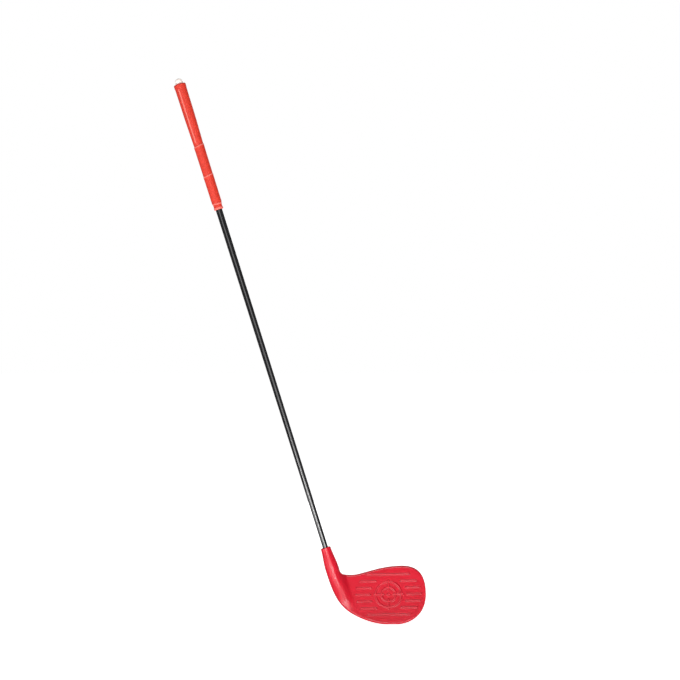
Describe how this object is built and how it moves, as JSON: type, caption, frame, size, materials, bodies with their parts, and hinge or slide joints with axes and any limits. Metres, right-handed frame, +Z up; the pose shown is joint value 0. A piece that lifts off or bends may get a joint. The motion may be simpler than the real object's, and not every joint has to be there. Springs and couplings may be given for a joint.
{
  "type": "hybrid golf club",
  "caption": "Left-handed beginner's golf club with an oversized moulded plastic head, lined strike face, tapered black shaft and slip-on rubber grip.",
  "frame": {"origin": "on the flat at the bottom of the sole, below the middle of the strike face", "axes": "+X towards the toe, +Y from the strike face to the back, +Z up with the club held at address; the shaft leans 17.5 degrees towards -X"},
  "size_m": [0.4032, 0.0612, 0.872],
  "materials": {
    "head_plastic": "satin",
    "grip_rubber": "satin",
    "shaft_lacquer": "gloss",
    "cap_plastic": "satin",
    "inner_plastic": "matte",
    "grip_tape": "matte",
    "weight_steel": "satin"
  },
  "bodies": {
    "root": {"head_face_plate": "head_plastic", "head_body_shell": "head_plastic", "swing_weight": "weight_steel", "hosel_bush": "inner_plastic", "shaft_tube": "shaft_lacquer", "shaft_tip_plug": "inner_plastic", "shaft_butt_plug": "inner_plastic", "grip_tape": "grip_tape", "grip_upper_sleeve": "grip_rubber", "grip_middle_sleeve": "grip_rubber", "grip_lower_sleeve": "grip_rubber", "grip_mouth_collar": "grip_rubber", "grip_end_cap": "cap_plastic"}
  },
  "joints": []
}
